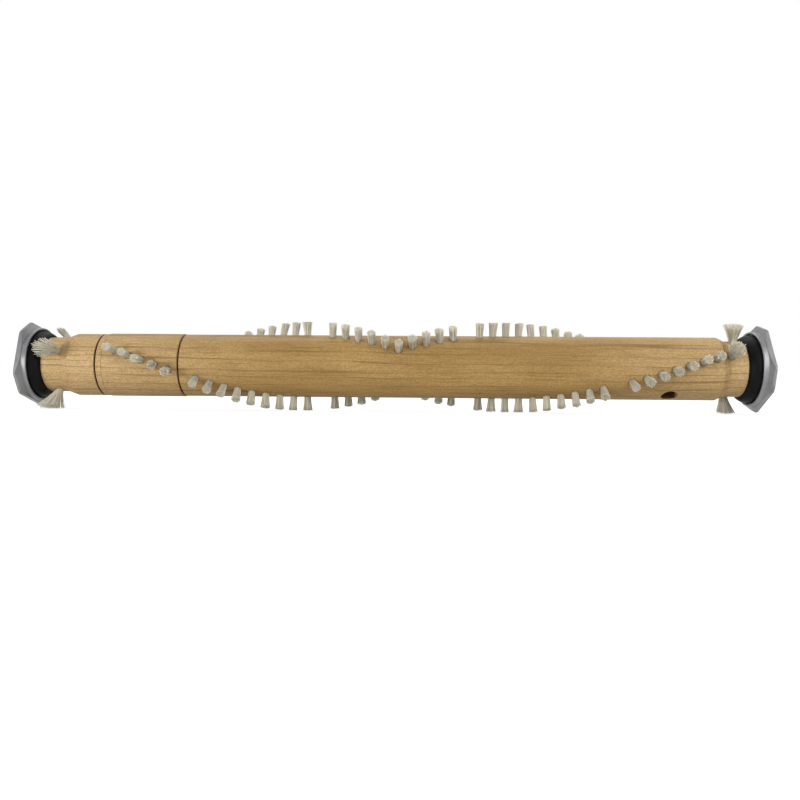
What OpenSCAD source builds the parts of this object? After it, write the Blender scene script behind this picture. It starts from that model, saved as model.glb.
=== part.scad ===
// Brush roll of an upright vacuum cleaner: a turned wooden roller with two spiral rows of
// nylon tufts, turning on a ball bearing inside a grey cap at each end.
// The roll's axis lies along X with its middle at the origin, and +Z is up.
// Angles round the roll are counted from the front, which is -Y, towards the top.

/* [Wooden roller] */
// Diameter of the long main stretch
roll_d = 25.4; // [25:0.1:26]
// Length of the wood from end to end
roll_length = 281.2; // [280:0.2:286]
// Diameter of the necks at both ends
neck_d = 22.4; // [21.6:0.1:23]
// Length of the left neck
left_neck_length = 7.5; // [7:0.1:8]
// Length of the slope from the left neck up to the belt track
left_slope_length = 4.2; // [3:0.1:5]
// Length of the right neck
right_neck_length = 6.9; // [6.5:0.1:8]
// Length of the slope from the right neck up to the main stretch
right_slope_length = 3; // [2:0.1:4]
// Diameter of the raised ring section beside the belt track
ring_d = 25.8; // [25.4:0.1:26.4]
// Where the burnt groove beside the belt track lies
belt_groove_x = -117.8; // [-118.5:0.1:-117]
// Where the raised ring section starts
ring_start_x = -115.1; // [-116:0.1:-114.5]
// Where the raised ring section ends, at the second burnt groove
ring_end_x = -84.3; // [-84.8:0.1:-84]
// Width of a burnt groove at the surface
groove_width = 0.9; // [0.6:0.1:1.2]
// Depth of a burnt groove
groove_depth = 0.55; // [0.3:0.05:0.8]

/* [Tuft rows] */
// Diameter over the trimmed tips of the tufts
brush_d = 36.4; // [35:0.1:38]
// Distance from tuft to tuft along the roll
tuft_pitch = 5.4; // [5.2:0.05:5.5]
// Where both rows turn back, seen along the roll
apex_x = 3.6; // [2:0.1:5]
// Angle of row B at that point
apex_angle = 32; // [0:1:60]
// Number of tuft places to the left of the turning point
left_places = 21; // [20:1:21]
// Number of tuft places to its right
right_places = 23; // [22:1:23]
// Angle from tuft to tuft on the left
left_twist = 8.25; // [6:0.05:9]
// Angle from tuft to tuft on the right
right_twist = 7.24; // [6:0.02:9]
// Diameter of a tuft hole
hole_d = 3.1; // [2.8:0.1:3.4]
// Depth of a tuft hole
hole_depth = 6.5; // [5.5:0.1:7]
// Diameter of a tuft at its tip
tip_d = 3.8; // [3.4:0.1:4.4]

/* [Edge tufts] */
// Where the inner pair of tufts on the left neck stands
left_inner_x = -134; // [-134.4:0.1:-133.6]
// Angle of that pair's first tuft, the second being opposite
left_inner_angle = 28; // [10:1:50]
// Where the outer pair on the left neck stands
left_outer_x = -136; // [-136.6:0.1:-135.6]
// Angle of the outer pair's first tuft
left_outer_angle = 110; // [90:1:140]
// Lean of the left edge tufts towards the cap
left_edge_lean = 22; // [0:1:24]
// Where the inner pair of tufts on the right neck stands
right_inner_x = 134; // [133.4:0.1:134.4]
// Angle of that pair's first tuft, the second being opposite
right_inner_angle = 26; // [10:1:40]
// Where the outer pair on the right neck stands
right_outer_x = 136.4; // [136:0.1:137]
// Angle of the outer pair's first tuft
right_outer_angle = 70; // [66:1:110]
// Lean of the right edge tufts towards the cap
right_edge_lean = 4; // [0:1:12]
// Diameter of an edge tuft at its fanned tip
fan_d = 8; // [5:0.1:8.4]
// Diameter over the edge tufts
edge_brush_d = 37; // [35:0.1:38]
// Depth of an edge tuft's hole
edge_hole_depth = 5.6; // [4.5:0.1:6]

/* [Balance hole] */
// Diameter of the drilled balance hole
balance_d = 6.4; // [5:0.1:7]
// Place along the roll
balance_x = 111.2; // [110.5:0.1:111.6]
// Angle round the roll
balance_angle = -59; // [-70:1:-50]
// Depth of its straight wall
balance_depth = 6.5; // [4:0.1:7]

/* [Stub axles] */
// Diameter of the axle, and of the bore that it is pressed into
axle_d = 8; // [8]
// Length of axle inside the wood
axle_grip = 22; // [20:0.5:24]
// Diameter of the collar that clamps the thread guard
collar_d = 10; // [9.6:0.1:10.2]

/* [Bearings] */
// Outer diameter of the bearing
bearing_d = 16; // [16]
// Width of the bearing
bearing_w = 4; // [4]
// Number of balls
ball_count = 9; // [7:1:10]
// Diameter of a ball
ball_d = 2.38; // [2.2:0.02:2.4]
// Gap between a ball and the groove or pocket that it runs in
ball_gap = 0.05; // [0.03:0.01:0.08]

/* [Thread guards] */
// Thickness of the guard's flat disc
guard_disc = 0.9; // [0.7:0.1:0.9]
// Diameter of the guard's flared edge
guard_edge_d = 27.5; // [26.5:0.1:27.6]
// Wall of the flare
guard_wall = 0.9; // [0.7:0.1:1.2]
// How far the flare reaches past the wood's end
guard_reach = 4.3; // [3.8:0.1:4.4]

/* [End caps] */
// Distance from the wood's end to the cap's outer face
cap_reach = 7.9; // [7.9:0.1:8.4]
// Distance from the wood's end to the cap's open rim
rim_reach = 4; // [3.6:0.1:4.2]
// Diameter of the cap's round cup
cup_d = 30.1; // [30:0.1:30.2]
// Wall of the cup at its rim
cup_wall = 0.9; // [0.8:0.05:0.95]
// Thickness of the closed end
end_wall = 1.2; // [1:0.1:1.2]
// Width of the flange across its long flats
flange_flats = 30.5; // [30.4:0.1:31]
// Width of the flange across its cut corners
flange_corners = 33.8; // [33:0.1:35]
// Diameter to which the flange's points are rounded
flange_round_d = 34.9; // [34.6:0.1:36]
// Angle of a flat of the left cap
left_cap_turn = 18.5; // [0:0.5:90]
// Angle of a flat of the right cap
right_cap_turn = 32; // [0:0.5:90]

/* [Hidden] */

left = -1;
right = 1;
round_fn = 96;
tuft_fn = 24;
small_fn = 48;

wood_colour = [0.80, 0.64, 0.42];
nylon_colour = [0.84, 0.81, 0.74];
guard_colour = [0.10, 0.10, 0.11];
cap_colour = [0.52, 0.53, 0.55];
steel_colour = [0.72, 0.73, 0.75];
brass_colour = [0.76, 0.62, 0.32];
felt_colour = [0.60, 0.58, 0.53];

roll_r = roll_d / 2;
neck_r = neck_d / 2;
ring_r = ring_d / 2;
hole_r = hole_d / 2;
wood_end = roll_length / 2;
end_bevel = 0.25;
ring_step = 0.15;

// The floor plate's bars pass through the rows at these tuft places
bar_places = [-16, -6, 5, 16];
row_a_offset = 180;
row_b_offset = 0;

// Place along the roll and angle of the first tuft of each pair on a neck
left_neck_places = [[left_inner_x, left_inner_angle], [left_outer_x, left_outer_angle]];
right_neck_places = [[right_inner_x, right_inner_angle], [right_outer_x, right_outer_angle]];

anchor_wire = [3, 0.45, 1.6];
anchor_fit = 0.01;

axle_r = axle_d / 2;
collar_r = collar_d / 2;
collar_length = 0.8;
guard_back = wood_end + guard_disc;
bearing_near = guard_back + collar_length;
bearing_far = bearing_near + bearing_w;
bearing_mid = (bearing_near + bearing_far) / 2;
ball_r = ball_d / 2;
ball_circle_r = (axle_d + bearing_d) / 4;
half_land_gap = 0.85;
inner_land_r = ball_circle_r - half_land_gap;
outer_land_r = ball_circle_r + half_land_gap;
race_bevel = 0.2;
shield_r = 7.3;
shield_thickness = 0.25;
shield_seat = 0.3;

clip_play = 0.08;
clip_near = bearing_far + clip_play;
clip_thickness = 0.54;
clip_groove_r = 3.3;
clip_r = 5.6;
axle_past_clip = 0.15;
axle_tip = clip_near + clip_thickness + axle_past_clip;

cap_face = wood_end + cap_reach;
cap_rim = wood_end + rim_reach;
cap_floor = cap_face - end_wall;
cup_r = cup_d / 2;
seat_wall = 1.4;
clip_room_r = 6.9;
moulded_bevel = 0.2;
flange_depth = 2.1;
flange_band = 0.8;
flange_near = cap_face - flange_depth;
flange_edge = cap_face - flange_band;
dish_r = 6;
dish_depth = 0.3;
rib_count = 8;
rib_width = 1;
rib_height = 1.7;

// Places of the tufts

function tuft_x(k) = apex_x + k * tuft_pitch;
function tuft_angle(k) = apex_angle + (k < 0 ? -k * left_twist : k * right_twist);
function is_bar(k) = len([for (b = bar_places) if (b == k) b]) > 0;
function surface_r(x) = x > ring_start_x && x < ring_end_x ? ring_r : roll_r;
function first_place(n) = n == 1 ? -left_places : bar_places[n - 2] + 1;
function last_place(n) = n == 5 ? right_places : bar_places[n - 1] - 1;

// Solid of revolution about the roll's axis, from points [place along X, radius]
module turned(profile, fn = round_fn) {
  rotate([0, 90, 0])
    rotate_extrude($fn = fn)
      polygon([for (p = profile) [p[1], p[0]]]);
}

// Puts a piece that is drawn for the right-hand end on either end
module at_end(side) {
  if (side == left)
    mirror([1, 0, 0]) children();
  else
    children();
}

// Turns a piece that points up so that it points out of the roll at an angle
module outward(x, angle) {
  translate([x, 0, 0])
    rotate([90 - angle, 0, 0])
      children();
}

// Places a piece at every tuft place from one to another, bars left out
module along_row(offset, first, last) {
  for (k = [first : last])
    if (!is_bar(k))
      outward(tuft_x(k), tuft_angle(k) + offset)
        translate([0, 0, surface_r(tuft_x(k))])
          children();
}

// Places a piece at the four tuft places on a neck, leaning by an angle along the roll
module round_neck(places, lean) {
  for (place = places, turn = [0, 180])
    outward(place[0], place[1] + turn)
      translate([0, 0, neck_r])
        rotate([0, lean, 0])
          children();
}

// The wood

module groove_cut(x, near_r, far_r) {
  half = groove_width / 2;
  turned([[x - half, near_r + 1], [x - half, near_r], [x, roll_r - groove_depth],
          [x + half, far_r], [x + half, far_r + 1]]);
}

module drilled(depth) {
  translate([0, 0, -depth])
    cylinder(r = hole_r, h = depth + 1, $fn = tuft_fn);
}

module balance_hole() {
  point = balance_d / 4;
  outward(balance_x, balance_angle)
    translate([0, 0, roll_r - balance_depth]) {
      cylinder(d = balance_d, h = balance_depth + 1, $fn = small_fn);
      translate([0, 0, -point])
        cylinder(d1 = 0, d2 = balance_d, h = point, $fn = small_fn);
    }
}

module wood_roller() {
  track_start = -wood_end + left_neck_length + left_slope_length;
  main_end = wood_end - right_neck_length - right_slope_length;
  color(wood_colour)
    difference() {
      turned([
        [-wood_end, 0], [-wood_end, neck_r - end_bevel], [-wood_end + end_bevel, neck_r],
        [-wood_end + left_neck_length, neck_r], [track_start, roll_r],
        [ring_start_x - ring_step, roll_r], [ring_start_x, ring_r],
        [ring_end_x, ring_r], [ring_end_x, roll_r], [main_end, roll_r],
        [wood_end - right_neck_length, neck_r], [wood_end - end_bevel, neck_r],
        [wood_end, neck_r - end_bevel], [wood_end, 0]
      ]);
      groove_cut(belt_groove_x, roll_r, roll_r);
      groove_cut(ring_end_x, ring_r, roll_r);
      along_row(row_a_offset, -left_places, right_places) drilled(hole_depth);
      along_row(row_b_offset, -left_places, right_places) drilled(hole_depth);
      round_neck(left_neck_places, -left_edge_lean) drilled(edge_hole_depth);
      round_neck(right_neck_places, right_edge_lean) drilled(edge_hole_depth);
      for (side = [left, right])
        at_end(side)
          turned([[wood_end - axle_grip, 0], [wood_end - axle_grip, axle_r],
                  [wood_end + 1, axle_r], [wood_end + 1, 0]]);
      balance_hole();
    }
}

// The tufts and the flat wires that staple them into the wood

module anchor(depth, fit = 0) {
  translate([-anchor_wire[0] / 2 - fit, -anchor_wire[1] / 2 - fit, -depth - fit])
    cube([anchor_wire[0] + 2 * fit, anchor_wire[1] + 2 * fit, anchor_wire[2] + 2 * fit]);
}

module tuft() {
  rise = brush_d / 2 - roll_r;
  difference() {
    union() {
      translate([0, 0, -hole_depth])
        cylinder(r = hole_r, h = hole_depth, $fn = tuft_fn);
      cylinder(r1 = hole_r, r2 = tip_d / 2, h = rise, $fn = tuft_fn);
    }
    anchor(hole_depth, anchor_fit);
  }
}

module tuft_stretch(offset, n) {
  color(nylon_colour)
    along_row(offset, first_place(n), last_place(n)) tuft();
}

module row_a_tufts_1() { tuft_stretch(row_a_offset, 1); }
module row_a_tufts_2() { tuft_stretch(row_a_offset, 2); }
module row_a_tufts_3() { tuft_stretch(row_a_offset, 3); }
module row_a_tufts_4() { tuft_stretch(row_a_offset, 4); }
module row_a_tufts_5() { tuft_stretch(row_a_offset, 5); }
module row_b_tufts_1() { tuft_stretch(row_b_offset, 1); }
module row_b_tufts_2() { tuft_stretch(row_b_offset, 2); }
module row_b_tufts_3() { tuft_stretch(row_b_offset, 3); }
module row_b_tufts_4() { tuft_stretch(row_b_offset, 4); }
module row_b_tufts_5() { tuft_stretch(row_b_offset, 5); }

module edge_tufts(places, lean) {
  // A tuft stays bound over its foot, then fans out past the trimming cylinder
  foot = 0.6;
  trim_length = 30;
  rise = edge_brush_d / 2 - neck_r;
  fan_height = rise + 2;
  fan_slope = (fan_d / 2 - hole_r) / (rise - foot);
  color(nylon_colour)
    intersection() {
      round_neck(places, lean)
        difference() {
          union() {
            translate([0, 0, -edge_hole_depth])
              cylinder(r = hole_r, h = edge_hole_depth + foot, $fn = tuft_fn);
            translate([0, 0, foot])
              cylinder(r1 = hole_r, r2 = hole_r + fan_slope * fan_height, h = fan_height,
                       $fn = small_fn);
          }
          anchor(edge_hole_depth, anchor_fit);
        }
      translate([places[0][0] - trim_length / 2, 0, 0])
        rotate([0, 90, 0])
          cylinder(d = edge_brush_d, h = trim_length, $fn = round_fn);
    }
}

module left_edge_tufts() { edge_tufts(left_neck_places, -left_edge_lean); }
module right_edge_tufts() { edge_tufts(right_neck_places, right_edge_lean); }

module row_anchors(offset) {
  color(steel_colour)
    along_row(offset, -left_places, right_places) anchor(hole_depth);
}

module row_a_anchors() { row_anchors(row_a_offset); }
module row_b_anchors() { row_anchors(row_b_offset); }

module left_edge_anchors() {
  color(steel_colour)
    round_neck(left_neck_places, -left_edge_lean) anchor(edge_hole_depth);
}

module right_edge_anchors() {
  color(steel_colour)
    round_neck(right_neck_places, right_edge_lean) anchor(edge_hole_depth);
}

// What turns with the wood at each end, drawn for the right-hand end

module stub_axle(side) {
  bevel = 0.4;
  inside = wood_end - axle_grip;
  color(steel_colour)
    at_end(side)
      turned([
        [inside, 0], [inside, axle_r - bevel], [inside + bevel, axle_r],
        [guard_back, axle_r], [guard_back, collar_r], [bearing_near, collar_r],
        [bearing_near, axle_r], [clip_near, axle_r], [clip_near, clip_groove_r],
        [clip_near + clip_thickness, clip_groove_r], [clip_near + clip_thickness, axle_r],
        [axle_tip, axle_r], [axle_tip, 0]
      ]);
}

module thread_guard(side) {
  edge_r = guard_edge_d / 2;
  edge_x = wood_end + guard_reach;
  foot_r = neck_r - 0.1;
  inner_foot_r = foot_r - guard_wall;
  // The flare is a quarter-ellipse from the wood's edge to the guard's rim
  steps = 8;
  outside = [for (i = [0 : steps])
    [edge_x - guard_reach * cos(90 * i / steps), foot_r + (edge_r - foot_r) * sin(90 * i / steps)]];
  inside = [for (i = [steps : -1 : 1])
    [edge_x - (edge_x - guard_back) * cos(90 * i / steps),
     inner_foot_r + (edge_r - foot_r) * sin(90 * i / steps)]];
  color(guard_colour)
    at_end(side)
      turned(concat([[wood_end, axle_r]], outside, inside,
                    [[guard_back, inner_foot_r], [guard_back, axle_r]]));
}

module felt_washer(side) {
  // The washer lies loose round the collar and just clear of the bearing
  felt_r = 9;
  felt_hole_r = collar_r + 0.1;
  felt_far = bearing_near - 0.2;
  color(felt_colour)
    at_end(side)
      turned([[guard_back, felt_hole_r], [guard_back, felt_r], [felt_far, felt_r],
              [felt_far, felt_hole_r]], small_fn);
}

module retaining_clip(side) {
  slot = 4.4;
  notch_r = 0.8;
  color(steel_colour)
    at_end(side)
      difference() {
        turned([[clip_near, clip_groove_r], [clip_near, clip_r],
                [clip_near + clip_thickness, clip_r], [clip_near + clip_thickness, clip_groove_r]],
               small_fn);
        translate([clip_near - 1, -slot / 2, 0])
          cube([3, slot, clip_r + 1]);
        for (notch_angle = [150, 210])
          outward(clip_near, notch_angle)
            translate([0, 0, clip_groove_r])
              rotate([0, 90, 0])
                cylinder(r = notch_r, h = 3, center = true, $fn = tuft_fn);
      }
}

// The ball bearing, drawn for the right-hand end

module ball_groove() {
  translate([bearing_mid, 0, 0])
    rotate([0, 90, 0])
      rotate_extrude($fn = round_fn)
        translate([ball_circle_r, 0])
          circle(r = ball_r + ball_gap, $fn = small_fn);
}

module bearing_inner_race(side) {
  color(steel_colour)
    at_end(side)
      difference() {
        turned([[bearing_near, axle_r], [bearing_near, inner_land_r],
                [bearing_far, inner_land_r], [bearing_far, axle_r]]);
        ball_groove();
      }
}

module bearing_outer_race(side) {
  bearing_r = bearing_d / 2;
  color(steel_colour)
    at_end(side)
      difference() {
        turned([
          [bearing_near, shield_r], [bearing_near, bearing_r - race_bevel],
          [bearing_near + race_bevel, bearing_r], [bearing_far - race_bevel, bearing_r],
          [bearing_far, bearing_r - race_bevel], [bearing_far, shield_r],
          [bearing_far - shield_seat, shield_r], [bearing_far - shield_seat, outer_land_r],
          [bearing_near + shield_seat, outer_land_r], [bearing_near + shield_seat, shield_r]
        ]);
        ball_groove();
      }
}

module round_balls() {
  for (i = [0 : ball_count - 1])
    outward(bearing_mid, 360 * i / ball_count)
      translate([0, 0, ball_circle_r])
        children();
}

module bearing_balls(side) {
  color(steel_colour)
    at_end(side)
      round_balls()
        sphere(r = ball_r, $fn = small_fn);
}

module bearing_cage(side) {
  pocket_r = ball_r + ball_gap;
  half_thickness = 0.45;
  near = bearing_mid - pocket_r - 0.25;
  far = bearing_mid + pocket_r + 0.25;
  inside = ball_circle_r - half_thickness;
  outside = ball_circle_r + half_thickness;
  color(brass_colour)
    at_end(side)
      difference() {
        turned([[near, inside], [near, outside], [far, outside], [far, inside]]);
        round_balls()
          sphere(r = pocket_r, $fn = small_fn);
      }
}

module bearing_shields(side) {
  shield_hole_r = inner_land_r + 0.2;
  color(steel_colour)
    at_end(side)
      for (near = [bearing_near + shield_seat - shield_thickness, bearing_far - shield_seat])
        turned([[near, shield_hole_r], [near, shield_r], [near + shield_thickness, shield_r],
                [near + shield_thickness, shield_hole_r]]);
}

// The end cap, drawn for the right-hand end

module flange(turn) {
  depth = cap_face - flange_near;
  round_r = flange_round_d / 2;
  // The flange starts inside the cup's wall and leaves the room within it free
  root_r = cup_r - cup_wall / 2;
  intersection() {
    translate([flange_near, 0, 0])
      rotate([-turn, 0, 0])
        translate([0, -flange_flats / 2, -flange_flats / 2])
          cube([depth, flange_flats, flange_flats]);
    translate([flange_near, 0, 0])
      rotate([45 - turn, 0, 0])
        translate([0, -flange_corners / 2, -flange_corners / 2])
          cube([depth, flange_corners, flange_corners]);
    turned([[flange_near, root_r], [flange_near, cup_r - moulded_bevel / 2],
            [flange_edge, round_r], [cap_face - moulded_bevel, round_r],
            [cap_face, round_r - moulded_bevel], [cap_face, root_r]]);
  }
}

module cap_ribs() {
  // Each rib runs from within the bearing seat's wall to within the cup's wall
  inner_r = (bearing_d + seat_wall) / 2;
  outer_r = cup_r - cup_wall / 2;
  for (i = [0 : rib_count - 1])
    rotate([360 * i / rib_count, 0, 0])
      translate([cap_floor - rib_height, -rib_width / 2, inner_r])
        cube([rib_height + end_wall / 2, rib_width, outer_r - inner_r]);
}

module end_cap(side, turn) {
  seat_r = bearing_d / 2;
  seat_lip = bearing_near - 0.1;
  color(cap_colour)
    at_end(side)
      difference() {
        union() {
          turned([
            [cap_floor, 0], [cap_floor, clip_room_r], [bearing_far, clip_room_r],
            [bearing_far, seat_r], [seat_lip, seat_r],
            [seat_lip, seat_r + seat_wall], [cap_floor, seat_r + seat_wall],
            [cap_floor, cup_r - cup_wall], [cap_rim + moulded_bevel, cup_r - cup_wall],
            [cap_rim, cup_r - cup_wall + moulded_bevel], [cap_rim, cup_r - moulded_bevel],
            [cap_rim + moulded_bevel, cup_r], [cap_face, cup_r], [cap_face, 0]
          ]);
          flange(turn);
          cap_ribs();
        }
        turned([[cap_face - dish_depth, 0], [cap_face - dish_depth, dish_r - dish_depth],
                [cap_face, dish_r], [cap_face + 1, dish_r], [cap_face + 1, 0]], small_fn);
      }
}

module left_stub_axle() { stub_axle(left); }
module left_thread_guard() { thread_guard(left); }
module left_felt_washer() { felt_washer(left); }
module left_retaining_clip() { retaining_clip(left); }
module left_bearing_inner_race() { bearing_inner_race(left); }
module left_bearing_outer_race() { bearing_outer_race(left); }
module left_bearing_balls() { bearing_balls(left); }
module left_bearing_cage() { bearing_cage(left); }
module left_bearing_shields() { bearing_shields(left); }
module left_end_cap() { end_cap(left, left_cap_turn); }

module right_stub_axle() { stub_axle(right); }
module right_thread_guard() { thread_guard(right); }
module right_felt_washer() { felt_washer(right); }
module right_retaining_clip() { retaining_clip(right); }
module right_bearing_inner_race() { bearing_inner_race(right); }
module right_bearing_outer_race() { bearing_outer_race(right); }
module right_bearing_balls() { bearing_balls(right); }
module right_bearing_cage() { bearing_cage(right); }
module right_bearing_shields() { bearing_shields(right); }
module right_end_cap() { end_cap(right, right_cap_turn); }

wood_roller();
row_a_tufts_1();
row_a_tufts_2();
row_a_tufts_3();
row_a_tufts_4();
row_a_tufts_5();
row_b_tufts_1();
row_b_tufts_2();
row_b_tufts_3();
row_b_tufts_4();
row_b_tufts_5();
left_edge_tufts();
right_edge_tufts();
row_a_anchors();
row_b_anchors();
left_edge_anchors();
right_edge_anchors();
left_stub_axle();
left_thread_guard();
left_felt_washer();
left_retaining_clip();
left_bearing_inner_race();
left_bearing_outer_race();
left_bearing_balls();
left_bearing_cage();
left_bearing_shields();
left_end_cap();
right_stub_axle();
right_thread_guard();
right_felt_washer();
right_retaining_clip();
right_bearing_inner_race();
right_bearing_outer_race();
right_bearing_balls();
right_bearing_cage();
right_bearing_shields();
right_end_cap();
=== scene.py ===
import math
import random

import bpy
from mathutils import Matrix, Vector


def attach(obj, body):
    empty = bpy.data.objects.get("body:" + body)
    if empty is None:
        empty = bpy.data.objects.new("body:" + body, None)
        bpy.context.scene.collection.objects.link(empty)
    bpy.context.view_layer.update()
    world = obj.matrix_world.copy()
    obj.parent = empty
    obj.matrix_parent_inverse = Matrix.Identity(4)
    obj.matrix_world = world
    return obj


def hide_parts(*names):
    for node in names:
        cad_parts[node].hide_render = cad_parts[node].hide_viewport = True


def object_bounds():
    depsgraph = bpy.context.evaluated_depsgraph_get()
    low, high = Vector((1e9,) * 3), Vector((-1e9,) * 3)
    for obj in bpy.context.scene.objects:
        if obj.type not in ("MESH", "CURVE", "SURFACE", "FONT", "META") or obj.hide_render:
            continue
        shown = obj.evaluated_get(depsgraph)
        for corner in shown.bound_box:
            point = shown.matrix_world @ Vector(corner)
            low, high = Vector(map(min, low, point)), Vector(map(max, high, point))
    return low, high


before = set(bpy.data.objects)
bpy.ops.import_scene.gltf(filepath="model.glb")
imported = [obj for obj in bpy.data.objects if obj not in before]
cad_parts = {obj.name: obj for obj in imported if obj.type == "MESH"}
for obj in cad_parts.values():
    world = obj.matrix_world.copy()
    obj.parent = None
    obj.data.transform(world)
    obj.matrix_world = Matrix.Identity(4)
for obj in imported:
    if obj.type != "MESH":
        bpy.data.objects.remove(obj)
cad_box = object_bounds()
mm = 0.001

# Camera
# The photograph looks straight at the middle of the roll from about 0.3 m, a little right of
# centre and turned slightly down and to the left. Place, turn and lens come from a fit to the
# outlines of the wood, the burnt grooves and the cap rims.

camera_place = Vector((14.15 * mm, -310 * mm, 0))
camera_yaw = math.radians(-1.884)
camera_pitch = math.radians(-2.515)
camera_roll = math.radians(0.4205)
ahead = Vector((
    math.sin(camera_yaw) * math.cos(camera_pitch),
    math.cos(camera_yaw) * math.cos(camera_pitch),
    math.sin(camera_pitch),
))
level = Vector((math.cos(camera_yaw), -math.sin(camera_yaw), 0))
upright = level.cross(ahead)
across = level * math.cos(camera_roll) + upright * math.sin(camera_roll)
above = upright * math.cos(camera_roll) - level * math.sin(camera_roll)
camera_data = bpy.data.cameras.new("camera")
camera_data.sensor_width = 36
camera_data.lens = 33.98
camera_data.clip_start = 0.01
camera = bpy.data.objects.new("camera", camera_data)
turn = Matrix((across, above, -ahead)).transposed().to_4x4()
camera.matrix_world = Matrix.Translation(camera_place) @ turn
bpy.context.collection.objects.link(camera)
bpy.context.scene.camera = camera
bpy.context.scene.view_settings.view_transform = "Standard"

# Studio
# A plain white room, brighter from the left: a white world, a small lamp low at the front left,
# a fill at the front right and one above and behind, over a pale floor that keeps the shadow.


def add_node(tree, kind, sockets=None, **settings):
    """Adds a node, sets what it is told to and links the sockets that are given as sockets."""
    made = tree.nodes.new(kind)
    for name, value in settings.items():
        setattr(made, name, value)
    for name, value in (sockets or {}).items():
        if isinstance(value, bpy.types.NodeSocket):
            tree.links.new(value, made.inputs[name])
        else:
            made.inputs[name].default_value = value
    return made


def calculate(tree, operation, *values):
    """A Math node's result."""
    sockets = dict(enumerate(values))
    return add_node(tree, "ShaderNodeMath", sockets, operation=operation).outputs[0]


ambient = 0.58
window_share = 0.26
world = bpy.data.worlds.new("white_room")
bpy.context.scene.world = world
world.use_nodes = True
room = world.node_tree
room.nodes.clear()
path = add_node(room, "ShaderNodeLightPath").outputs
shows_white = calculate(
    room, "MAXIMUM",
    calculate(room, "MAXIMUM", path["Is Camera Ray"], path["Is Glossy Ray"]),
    path["Is Transmission Ray"],
)
skyward = add_node(room, "ShaderNodeTexCoord").outputs["Generated"]
toward_right = add_node(room, "ShaderNodeSeparateXYZ", {0: skyward}).outputs[0]
window_side = calculate(room, "MULTIPLY_ADD", toward_right, -window_share, ambient)
strength = add_node(
    room, "ShaderNodeMapRange", {"Value": shows_white, "To Min": window_side, "To Max": 1.0}
)
background = add_node(
    room, "ShaderNodeBackground", {"Color": (1, 1, 1, 1), "Strength": strength.outputs[0]}
)
add_node(room, "ShaderNodeOutputWorld", {"Surface": background.outputs[0]})


def add_lamp(name, place, aim, size, power):
    data = bpy.data.lights.new(name, "AREA")
    data.shape = "DISK"
    data.size = size
    data.energy = power
    lamp = bpy.data.objects.new(name, data)
    toward = Vector(aim) - Vector(place)
    turned = toward.to_track_quat("-Z", "Y").to_matrix().to_4x4()
    lamp.matrix_world = Matrix.Translation(place) @ turned
    bpy.context.collection.objects.link(lamp)


add_lamp("key_lamp", (-0.42, -0.30, 0.03), (-0.10, 0, 0), 0.12, 1.5)
add_lamp("fill_lamp", (0.36, -0.40, 0.22), (0.12, 0, 0), 0.35, 2.0)
add_lamp("back_lamp", (0.0, 0.30, 0.50), (0, 0, 0), 0.50, 1.6)

floor_half = 4.0
floor_z = cad_box[0][2] - 0.1 * mm
floor_data = bpy.data.meshes.new("floor")
floor_data.from_pydata(
    [(x * floor_half, y * floor_half, floor_z) for x, y in ((-1, -1), (1, -1), (1, 1), (-1, 1))],
    [], [(0, 1, 2, 3)],
)
floor = bpy.data.objects.new("floor", floor_data)
bpy.context.collection.objects.link(floor)
floor_look = bpy.data.materials.new("pale_floor")
floor_look.use_nodes = True
paper = floor_look.node_tree
paper.nodes.clear()
path = add_node(paper, "ShaderNodeLightPath").outputs
seen = calculate(
    paper, "MAXIMUM",
    calculate(paper, "MAXIMUM", path["Is Camera Ray"], path["Is Glossy Ray"]),
    path["Is Transmission Ray"],
)
plain = add_node(paper, "ShaderNodeBsdfDiffuse", {"Color": (0.80, 0.80, 0.80, 1)})
shaded = add_node(paper, "ShaderNodeBsdfDiffuse", {"Color": (0.45, 0.45, 0.45, 1)})
glow = add_node(paper, "ShaderNodeEmission", {"Color": (1, 1, 1, 1), "Strength": 0.76})
white = add_node(paper, "ShaderNodeAddShader", {0: shaded.outputs[0], 1: glow.outputs[0]})
either = add_node(
    paper, "ShaderNodeMixShader", {0: seen, 1: plain.outputs[0], 2: white.outputs[0]}
)
add_node(paper, "ShaderNodeOutputMaterial", {"Surface": either.outputs[0]})
floor_data.materials.append(floor_look)

# Wooden roller
# One length of straight-grained hardwood dowel, turned on a lathe: necks, belt track and ring
# section are cut first, the two lines beside the belt track are burnt in with a wire, and the
# tuft holes and the balance hole are drilled last. It is only lightly sealed.


def new_look(name):
    """A material with an output and a Principled shader, and its tree."""
    look = bpy.data.materials.new(name)
    look.use_nodes = True
    tree = look.node_tree
    tree.nodes.clear()
    shader = add_node(tree, "ShaderNodeBsdfPrincipled")
    add_node(tree, "ShaderNodeOutputMaterial", {"Surface": shader.outputs[0]})
    return look, tree, shader


def new_effect(name, inputs, outputs):
    """A shader node group with its numbers in and out, as (group, inputs, output node)."""
    group = bpy.data.node_groups.new(name, "ShaderNodeTree")
    for label, value in inputs.items():
        socket = group.interface.new_socket(label, in_out="INPUT", socket_type="NodeSocketFloat")
        socket.default_value = value
    for label in outputs:
        group.interface.new_socket(label, in_out="OUTPUT", socket_type="NodeSocketFloat")
    given = add_node(group, "NodeGroupInput").outputs
    result = add_node(group, "NodeGroupOutput")
    return group, given, result


def place_effect(tree, group, **values):
    """A group placed in a material with its own values. Underlines stand for spaces."""
    made = add_node(tree, "ShaderNodeGroup", node_tree=group)
    for name, value in values.items():
        made.inputs[name.replace("_", " ")].default_value = value
    return made.outputs


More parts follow.
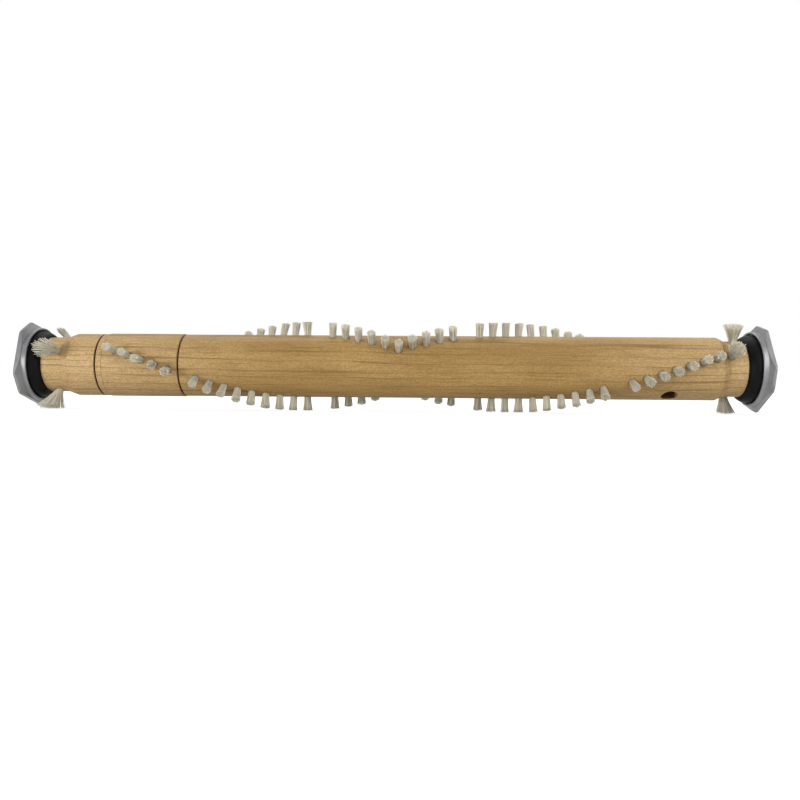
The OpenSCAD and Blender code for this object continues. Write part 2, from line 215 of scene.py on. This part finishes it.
def in_millimetres(tree):
    """The place on the piece in millimetres, as x, y and z sockets and one vector socket."""
    place = add_node(tree, "ShaderNodeTexCoord").outputs["Object"]
    scaled = add_node(
        tree, "ShaderNodeVectorMath", {0: place, "Scale": 1 / mm}, operation="SCALE"
    ).outputs[0]
    return add_node(tree, "ShaderNodeSeparateXYZ", {0: scaled}).outputs, scaled


def stretched(tree, parts, factors):
    """The place in millimetres with each axis multiplied by its own factor."""
    sockets = {i: calculate(tree, "MULTIPLY", parts[i], factors[i]) for i in range(3)}
    return add_node(tree, "ShaderNodeCombineXYZ", sockets).outputs[0]


def noise(tree, vector, scale=1.0, detail=2.0, roughness=0.5):
    sockets = {"Vector": vector, "Scale": scale, "Detail": detail, "Roughness": roughness}
    return add_node(tree, "ShaderNodeTexNoise", sockets).outputs[0]


def ramp(tree, value, low, high, start=0.0, end=1.0):
    """Start below low, end above high, and a smooth rise between them."""
    sockets = {"Value": value, "From Min": low, "From Max": high, "To Min": start, "To Max": end}
    return add_node(
        tree, "ShaderNodeMapRange", sockets, interpolation_type="SMOOTHSTEP"
    ).outputs[0]


def blend_colours(tree, amount, first, second, blend_type="MIX"):
    made = add_node(
        tree, "ShaderNodeMix", {0: amount, 6: first, 7: second},
        data_type="RGBA", blend_type=blend_type,
    )
    return made.outputs[2]


# Fine lines round the axis, as a lathe tool leaves them, used on wood, steel and brass
turning_marks, given, result = new_effect(
    "turning_marks", {"Spacing": 0.4, "Wander": 0.3}, ["Tone", "Height"]
)
parts = in_millimetres(turning_marks)[0]
drift = calculate(
    turning_marks, "MULTIPLY",
    noise(turning_marks, stretched(turning_marks, parts, (0.6, 0.1, 0.1))), given["Wander"],
)
turns = calculate(
    turning_marks, "DIVIDE", calculate(turning_marks, "ADD", parts[0], drift), given["Spacing"]
)
wave = calculate(turning_marks, "SINE", calculate(turning_marks, "MULTIPLY", turns, 2 * math.pi))
uneven = noise(turning_marks, stretched(turning_marks, parts, (0.12, 0.2, 0.2)))
patches = ramp(turning_marks, uneven, 0.35, 0.7)
wave = calculate(turning_marks, "MULTIPLY", wave, patches)
tone = calculate(turning_marks, "MULTIPLY_ADD", wave, 0.5, 0.5)
turning_marks.links.new(tone, result.inputs["Tone"])
turning_marks.links.new(wave, result.inputs["Height"])

wood_look, tree, shader = new_look("turned_hardwood")
parts = in_millimetres(tree)[0]

# Growth rings: shells round a pith far behind and below the dowel, drifting along the length
ring_spacing = 3.2
pith_y, pith_z = 20.0, -70.0
sway = noise(tree, stretched(tree, parts, (0.012, 0.06, 0.06)), detail=3.0)
sway = calculate(tree, "MULTIPLY_ADD", sway, 5.0, -2.5)
from_pith_y = calculate(tree, "SUBTRACT", parts[1], pith_y)
from_pith_z = calculate(tree, "SUBTRACT", calculate(tree, "ADD", parts[2], sway), pith_z)
slope = calculate(tree, "MULTIPLY_ADD", parts[0], 0.006, from_pith_z)


def from_axis(tree, across, up):
    """The distance from an axis, from the two distances square to it."""
    squares = calculate(
        tree, "ADD", calculate(tree, "POWER", across, 2.0), calculate(tree, "POWER", up, 2.0)
    )
    return calculate(tree, "SQRT", squares)


distance = from_axis(tree, from_pith_y, slope)
uneven = noise(tree, stretched(tree, parts, (0.0, 0.35, 0.35)), detail=1.0)
distance = calculate(tree, "MULTIPLY_ADD", uneven, 2.0, distance)
ring = calculate(tree, "FRACT", calculate(tree, "DIVIDE", distance, ring_spacing))
late_wood = calculate(
    tree, "MULTIPLY", ramp(tree, ring, 0.78, 0.93), ramp(tree, ring, 0.94, 1.0, 1.0, 0.0)
)
faint = noise(tree, stretched(tree, parts, (0.03, 0.25, 0.25)), detail=1.0)
late_wood = calculate(tree, "MULTIPLY", late_wood, ramp(tree, faint, 0.3, 0.65, 0.1, 1.0))

# Fibres and pores run along the dowel
fibres = noise(tree, stretched(tree, parts, (0.10, 2.6, 2.6)), detail=3.0, roughness=0.6)
dashes = noise(tree, stretched(tree, parts, (0.45, 6.0, 6.0)), detail=1.0)
pores = ramp(tree, dashes, 0.60, 0.72)
fuzz = noise(tree, stretched(tree, parts, (1.1, 2.4, 2.4)), detail=2.0)
threads = noise(tree, stretched(tree, parts, (0.025, 1.5, 1.5)), detail=2.0)
cloud = noise(tree, stretched(tree, parts, (0.02, 0.09, 0.09)), detail=2.0)

pale_wood = (0.375, 0.240, 0.080, 1)
deep_wood = (0.285, 0.172, 0.050, 1)
# Lighter wood colour, used as painted light towards the ends
painted_light_wood = (0.560, 0.400, 0.200, 1)
late_colour = (0.115, 0.056, 0.014, 1)
pore_colour = (0.130, 0.064, 0.018, 1)
# Burnt black, for the burnt lines and for the painted shade inside the holes
burnt_and_shade_colour = (0.040, 0.014, 0.005, 1)
colour = blend_colours(tree, ramp(tree, cloud, 0.3, 0.7), pale_wood, deep_wood)
# Painted light: the wood is made lighter towards both ends of the roll
from_middle = calculate(tree, "ABSOLUTE", calculate(tree, "SUBTRACT", parts[0], 10.0))
colour = blend_colours(tree, ramp(tree, from_middle, 50.0, 135.0, 0.0, 0.60), colour, painted_light_wood)
colour = blend_colours(tree, ramp(tree, fuzz, 0.38, 0.62, 0.0, 0.32), colour, late_colour)
colour = blend_colours(tree, ramp(tree, threads, 0.60, 0.72, 0.0, 0.45), colour, late_colour)
colour = blend_colours(tree, ramp(tree, fibres, 0.35, 0.75, 0.0, 0.30), colour, late_colour)
colour = blend_colours(tree, calculate(tree, "MULTIPLY", late_wood, 0.65), colour, late_colour)
colour = blend_colours(tree, calculate(tree, "MULTIPLY", pores, 0.45), colour, pore_colour)

# Where the lathe cut across the fibres, on the slopes and the ends, the wood drinks more sealer
facing = add_node(tree, "ShaderNodeTexCoord").outputs["Normal"]
facing = add_node(tree, "ShaderNodeSeparateXYZ", {0: facing}).outputs
facing_x = calculate(tree, "ABSOLUTE", facing[0])
end_grain = ramp(tree, facing_x, 0.15, 0.6)
colour = blend_colours(tree, calculate(tree, "MULTIPLY", end_grain, 0.35), colour, late_colour)

# Burnt lines: two deep ones in the grooves and a faint one where the ring section starts
burnt = None
burnt_lines = ((-117.8, 0.46, 0.85), (-84.3, 0.40, 0.75), (-115.2, 0.30, 0.35))
for line_x, half_width, depth in burnt_lines:
    away = calculate(tree, "ABSOLUTE", calculate(tree, "SUBTRACT", parts[0], line_x))
    line = ramp(tree, away, 0.35 * half_width, half_width, depth, 0.0)
    burnt = line if burnt is None else calculate(tree, "MAXIMUM", burnt, line)
colour = blend_colours(tree, burnt, colour, burnt_and_shade_colour)

# Inside the drilled holes the wood is painted nearly black: painted shade in the recesses
radius = from_axis(tree, parts[1], parts[2])
on_necks = ramp(tree, calculate(tree, "ABSOLUTE", parts[0]), 129.0, 132.0)
skin = calculate(tree, "MULTIPLY_ADD", on_necks, -1.5, 12.6)
painted_hole_shade = calculate(tree, "LESS_THAN", radius, calculate(tree, "SUBTRACT", skin, 0.15))
off_slopes = calculate(tree, "LESS_THAN", facing_x, 0.9)
painted_hole_shade = calculate(tree, "MULTIPLY", painted_hole_shade, off_slopes)
colour = blend_colours(tree, calculate(tree, "MULTIPLY", painted_hole_shade, 0.9), colour, burnt_and_shade_colour)

marks = place_effect(tree, turning_marks, Spacing=0.9, Wander=0.5)
colour = blend_colours(tree, ramp(tree, marks["Tone"], 0.5, 1.0, 0.0, 0.10), colour, late_colour)
dents = calculate(tree, "MULTIPLY", pores, -1.0)
height = calculate(tree, "MULTIPLY_ADD", marks["Height"], 0.25, dents)
height = calculate(tree, "MULTIPLY_ADD", fibres, -0.6, height)
bump = add_node(tree, "ShaderNodeBump", {"Strength": 0.35, "Distance": 0.05 * mm, "Height": height})
tree.links.new(colour, shader.inputs["Base Color"])
tree.links.new(ramp(tree, fibres, 0.3, 0.8, 0.52, 0.70), shader.inputs["Roughness"])
tree.links.new(bump.outputs[0], shader.inputs["Normal"])
shader.inputs["Specular IOR Level"].default_value = 0.25


def dress(names, look):
    """Gives CAD nodes that stay as they are a finished material."""
    for name in names:
        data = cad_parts[name].data
        data.materials.clear()
        data.materials.append(look)


dress(["wood_roller"], wood_look)

# Rows of nylon tufts
# Each tuft is a bundle of nylon filaments, folded in two and stapled into its hole with a flat
# wire. The two rows run round the roll, turn back left of its middle, leave four gaps for the
# bars of the floor plate, and are trimmed to one cylinder.

roll_r = 12.7
ring_r = 12.9
ring_span = (-115.1, -84.3)
brush_r = 18.2
tuft_pitch = 5.4
apex_x = 3.6
apex_angle = 32.0
left_twist = 8.25
right_twist = 7.24
stretches = ((-21, -17), (-15, -7), (-5, 4), (6, 15), (17, 23))
hole_depth = 6.5
bundle_r = 1.30
row_bundle = 58
filament_r = 0.15
# In its hole a bundle is pressed together a little and stands on both sides of the wire
pressed = 0.95
wire_clear = 0.42
hole_floor_gap = 0.15
golden_turn = math.radians(137.508)

nylon_look, tree, shader = new_look("natural_nylon")
place = in_millimetres(tree)[1]
strand = add_node(tree, "ShaderNodeAttribute", attribute_name="strand").outputs["Fac"]
speckle = noise(tree, place, scale=3.0, detail=2.0)
clear_nylon = (0.84, 0.80, 0.66, 1)
cloudy_nylon = (0.58, 0.53, 0.41, 1)
colour = blend_colours(tree, strand, clear_nylon, cloudy_nylon)
colour = blend_colours(tree, ramp(tree, speckle, 0.4, 0.7, 0.0, 0.25), colour, cloudy_nylon)
tree.links.new(colour, shader.inputs["Base Color"])
tree.links.new(ramp(tree, strand, 0.0, 1.0, 0.32, 0.5), shader.inputs["Roughness"])
shader.inputs["Transmission Weight"].default_value = 0.30
shader.inputs["IOR"].default_value = 1.40


def tuft_frame(x, angle, radius):
    """Columns along the roll, round it and out of it, with the origin on the wood."""
    turn = math.radians(angle)
    out = Vector((0, -math.cos(turn), math.sin(turn)))
    around = Vector((0, math.sin(turn), math.cos(turn)))
    along = Vector((1, 0, 0))
    made = Matrix((along, around, out)).transposed().to_4x4()
    return Matrix.Translation(Vector((x, 0, 0)) + out * radius) @ made


class Bristles:
    """Collects filaments and makes one mesh piece of them."""

    def __init__(self, seed):
        self.points = []
        self.faces = []
        self.strands = []
        self.rng = random.Random(seed)

    def filament(self, middles, radius, sides=5):
        """A thin rod through points that run from its foot to its cut tip."""
        first = len(self.points)
        self.strands += [self.rng.random()] * sides * len(middles)
        corners = [
            Vector((math.cos(2 * math.pi * i / sides), math.sin(2 * math.pi * i / sides), 0))
            for i in range(sides)
        ]
        for place, middle in middles:
            self.points += [place @ (middle + corner * radius) * mm for corner in corners]
        for ring in range(len(middles) - 1):
            low = first + ring * sides
            for i in range(sides):
                j = (i + 1) % sides
                self.faces.append((low + i, low + j, low + sides + j, low + sides + i))
        self.faces.append(tuple(first + i for i in reversed(range(sides))))
        top = first + (len(middles) - 1) * sides
        self.faces.append(tuple(top + i for i in range(sides)))

    def piece(self, name, look, body, node):
        data = bpy.data.meshes.new(name)
        data.from_pydata(self.points, [], self.faces)
        data.polygons.foreach_set("use_smooth", [len(f) == 4 for f in self.faces])
        data.attributes.new("strand", "FLOAT", "POINT").data.foreach_set("value", self.strands)
        data.materials.append(look)
        made = bpy.data.objects.new(name, data)
        bpy.context.collection.objects.link(made)
        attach(made, body)
        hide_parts(node)


def bundle(count, radius):
    """Even places of a bundle's filaments across a round hole."""
    return [
        (radius * math.sqrt((i + 0.5) / count) * math.cos(i * golden_turn),
         radius * math.sqrt((i + 0.5) / count) * math.sin(i * golden_turn))
        for i in range(count)
    ]


def wood_r(x):
    return ring_r if ring_span[0] < x < ring_span[1] else roll_r


def trimmed(place, middle, radius):
    """How far out along the tuft the trimming cylinder cuts a filament that stands there."""
    foot = place.translation.yz.length
    return math.sqrt(radius ** 2 - middle[1] ** 2) - foot


def hole_foot(along, around, depth):
    """Where a filament that leaves its hole at this place starts, beside the wire."""
    beside_wire = math.copysign(max(abs(around), wire_clear), around)
    return Vector((along * pressed, beside_wire * pressed, hole_floor_gap - depth))


def row_tuft(bristles, x, angle, lean):
    rng = bristles.rng
    place = tuft_frame(x, angle, wood_r(x))
    flare = rng.uniform(1.22, 1.52)
    lean_x = lean + rng.gauss(0, 0.18)
    lean_round = rng.gauss(0, 0.2)
    for along, around in bundle(row_bundle, bundle_r):
        end = Vector((along * flare + lean_x + rng.gauss(0, 0.06),
                      around * flare + lean_round + rng.gauss(0, 0.06), 0))
        height = trimmed(place, end, brush_r) + rng.uniform(-0.12, 0.0)
        middles = [(place, hole_foot(along, around, hole_depth))]
        for share in (0.0, 0.35, 0.7, 1.0):
            bend = share ** 1.4
            middles.append((place, Vector((along + (end.x - along) * bend,
                                           around + (end.y - around) * bend, height * share))))
        bristles.filament(middles, filament_r)


# Tufts that lean along the roll, and by how many millimetres at their tips
leaning = {("b", -9): 1.2, ("a", -21): -1.8, ("a", -20): -0.8, ("a", -19): -1.1, ("a", -18): 0.7}
for row, offset in (("a", 180.0), ("b", 0.0)):
    for number, (first, last) in enumerate(stretches, start=1):
        bristles = Bristles(f"row {row} {number}")
        for k in range(first, last + 1):
            twist = left_twist if k < 0 else right_twist
            angle = apex_angle + abs(k) * twist + offset
            row_tuft(bristles, apex_x + k * tuft_pitch, angle, leaning.get((row, k), 0.0))
        name = f"row_{row}_bristles_{number}"
        bristles.piece(name, nylon_look, "roller", f"row_{row}_tufts_{number}")

# Edge tufts
# Four longer tufts on each neck sweep the dust out of the corner by the cap. Their holes lean
# towards the cap, and the filaments fan out, because nothing beside them holds them together.

neck_r = 11.2
edge_brush_r = 18.5
edge_hole_depth = 5.6
edge_bundle = 120
edge_filament_r = 0.13
dome_fall = 0.06
# For each tuft: place along the roll, angle, lean of its hole in degrees, how far its tips are
# bent along the roll and round it in millimetres, and how far they fan out
edge_tufts = {
    "left": (
        (-134.0, 28.0, -22.0, 0.2, -1.8, 3.3),
        (-134.0, 208.0, -22.0, 0.0, 0.0, 2.9),
        (-136.0, 110.0, -22.0, -3.6, 5.2, 1.5),
        (-136.0, 290.0, -22.0, -0.8, -1.5, 4.0),
    ),
    "right": (
        (134.0, 26.0, 4.0, -0.9, 0.1, 2.8),
        (134.0, 206.0, 4.0, 0.0, 0.0, 2.6),
        (136.4, 70.0, 4.0, -0.7, 0.8, 3.0),
        (136.4, 250.0, 4.0, 1.2, 1.0, 3.0),
    ),
}


def edge_tuft(bristles, x, angle, lean, bend_x, bend_round, fan):
    rng = bristles.rng
    hole = tuft_frame(x, angle, neck_r) @ Matrix.Rotation(math.radians(lean), 4, "Y")
    for along, around in bundle(edge_bundle, bundle_r):
        spread = fan * rng.uniform(0.93, 1.02)
        end_x = along * spread + bend_x + rng.gauss(0, 0.12)
        end_round = around * spread + bend_round + rng.gauss(0, 0.12)
        middles = [(hole, hole_foot(along, around, edge_hole_depth))]
        # The tip is where the filament meets the trimming cylinder, found in a few steps
        length = edge_brush_r - neck_r
        for _ in range(6):
            reach = hole @ Vector((end_x, end_round, length))
            length += edge_brush_r - math.hypot(reach.y, reach.z)
        # Filaments of one length end lower at the fan's rim
        length -= dome_fall * (end_x ** 2 + end_round ** 2) / length + rng.uniform(0.0, 0.15)
        for share in (0.0, 0.25, 0.5, 0.75, 1.0):
            bend = share ** 1.3
            middles.append((hole, Vector((along + (end_x - along) * bend,
                                          around + (end_round - around) * bend,
                                          length * share))))
        bristles.filament(middles, edge_filament_r)


for side, tufts in edge_tufts.items():
    bristles = Bristles(f"edge {side}")
    for facts in tufts:
        edge_tuft(bristles, *facts)
    bristles.piece(
        f"{side}_edge_bristles", nylon_look, "roller", f"{side}_edge_tufts"
    )

# Thread guards
# A thin disc of black moulded plastic at each end of the wood, flared so that thread winds up
# on it and not on the axle. The axle's collar clamps it.

# Faint unevenness of a moulded skin, used on the guards and the caps
moulded_skin, given, result = new_effect(
    "moulded_skin", {"Grain": 3.0, "Cloud": 0.15}, ["Tone", "Height", "Scuffs"]
)
parts, place = in_millimetres(moulded_skin)
grain = noise(moulded_skin, place, scale=given["Grain"], detail=3.0, roughness=0.6)
cloud = noise(moulded_skin, place, scale=given["Cloud"], detail=2.0)
scratches = noise(moulded_skin, stretched(moulded_skin, parts, (4.0, 0.5, 0.5)), detail=2.0)
moulded_skin.links.new(cloud, result.inputs["Tone"])
moulded_skin.links.new(grain, result.inputs["Height"])
moulded_skin.links.new(ramp(moulded_skin, scratches, 0.58, 0.72), result.inputs["Scuffs"])

guard_look, tree, shader = new_look("black_moulding")
skin = place_effect(tree, moulded_skin, Grain=2.5, Cloud=0.3)
soot_black = (0.0032, 0.0032, 0.0033, 1)
worn_black = (0.0062, 0.0062, 0.0064, 1)
colour = blend_colours(tree, ramp(tree, skin["Tone"], 0.3, 0.7), soot_black, worn_black)
colour = blend_colours(
    tree, calculate(tree, "MULTIPLY", skin["Scuffs"], 0.3), colour, (0.016, 0.016, 0.016, 1)
)
tree.links.new(colour, shader.inputs["Base Color"])
tree.links.new(ramp(tree, skin["Tone"], 0.3, 0.7, 0.42, 0.55), shader.inputs["Roughness"])
shader.inputs["Specular IOR Level"].default_value = 0.06
bump = add_node(
    tree, "ShaderNodeBump", {"Strength": 0.25, "Distance": 0.03 * mm, "Height": skin["Height"]}
)
tree.links.new(bump.outputs[0], shader.inputs["Normal"])
dress(["left_thread_guard", "right_thread_guard"], guard_look)

# End caps
# Grey moulded cups that hold the bearings. The flange, square with cut corners, slides into a
# slot of the machine, so the cap stays still while the roll turns in it.

cap_look, tree, shader = new_look("satin_grey_moulding")
skin = place_effect(tree, moulded_skin, Grain=3.5, Cloud=0.12)
dark_grey = (0.150, 0.152, 0.156, 1)
light_grey = (0.205, 0.207, 0.210, 1)
colour = blend_colours(tree, ramp(tree, skin["Tone"], 0.3, 0.7), dark_grey, light_grey)
colour = blend_colours(
    tree, calculate(tree, "MULTIPLY", skin["Scuffs"], 0.25), colour, (0.32, 0.32, 0.33, 1)
)
tree.links.new(colour, shader.inputs["Base Color"])
tree.links.new(ramp(tree, skin["Tone"], 0.3, 0.7, 0.30, 0.42), shader.inputs["Roughness"])
shader.inputs["Metallic"].default_value = 0.35
bump = add_node(
    tree, "ShaderNodeBump", {"Strength": 0.3, "Distance": 0.04 * mm, "Height": skin["Height"]}
)
tree.links.new(bump.outputs[0], shader.inputs["Normal"])
dress(["left_end_cap", "right_end_cap"], cap_look)

# Steel inside the ends
# Stub axles pressed into the wood, the races, shields and balls of the bearings, the retaining
# clips, and the flat wire that staples the tufts: all bright steel, ground or drawn.

steel_look, tree, shader = new_look("ground_steel")
marks = place_effect(tree, turning_marks, Spacing=0.12, Wander=0.1)
colour = blend_colours(
    tree, ramp(tree, marks["Tone"], 0.2, 0.9), (0.56, 0.57, 0.58, 1), (0.44, 0.45, 0.46, 1)
)
tree.links.new(colour, shader.inputs["Base Color"])
tree.links.new(ramp(tree, marks["Tone"], 0.2, 0.9, 0.22, 0.38), shader.inputs["Roughness"])
shader.inputs["Metallic"].default_value = 1.0
bump = add_node(
    tree, "ShaderNodeBump", {"Strength": 0.2, "Distance": 0.01 * mm, "Height": marks["Height"]}
)
tree.links.new(bump.outputs[0], shader.inputs["Normal"])
steel_parts = ("stub_axle", "retaining_clip", "bearing_inner_race", "bearing_outer_race",
               "bearing_balls", "bearing_shields")
dress([f"{side}_{part}" for side in ("left", "right") for part in steel_parts], steel_look)
dress(["row_a_anchors", "row_b_anchors", "left_edge_anchors", "right_edge_anchors"], steel_look)

# Bearing cages
# A pressed brass ring in each bearing, with a pocket for every ball.

brass_look, tree, shader = new_look("pressed_brass")
marks = place_effect(tree, turning_marks, Spacing=0.3, Wander=0.4)
colour = blend_colours(
    tree, ramp(tree, marks["Tone"], 0.2, 0.9), (0.72, 0.53, 0.22, 1), (0.55, 0.38, 0.15, 1)
)
tree.links.new(colour, shader.inputs["Base Color"])
tree.links.new(ramp(tree, marks["Tone"], 0.2, 0.9, 0.25, 0.42), shader.inputs["Roughness"])
shader.inputs["Metallic"].default_value = 1.0
dress(["left_bearing_cage", "right_bearing_cage"], brass_look)

# Felt washers
# A ring of pressed wool felt behind each thread guard keeps dust and hair out of the bearing.

felt_look, tree, shader = new_look("pressed_felt")
place = in_millimetres(tree)[1]
wool = noise(tree, place, scale=4.0, detail=4.0, roughness=0.7)
colour = blend_colours(
    tree, ramp(tree, wool, 0.3, 0.7), (0.42, 0.40, 0.35, 1), (0.27, 0.25, 0.21, 1)
)
tree.links.new(colour, shader.inputs["Base Color"])
shader.inputs["Roughness"].default_value = 0.95
bump = add_node(tree, "ShaderNodeBump", {"Strength": 0.8, "Distance": 0.15 * mm, "Height": wool})
tree.links.new(bump.outputs[0], shader.inputs["Normal"])
dress(["left_felt_washer", "right_felt_washer"], felt_look)
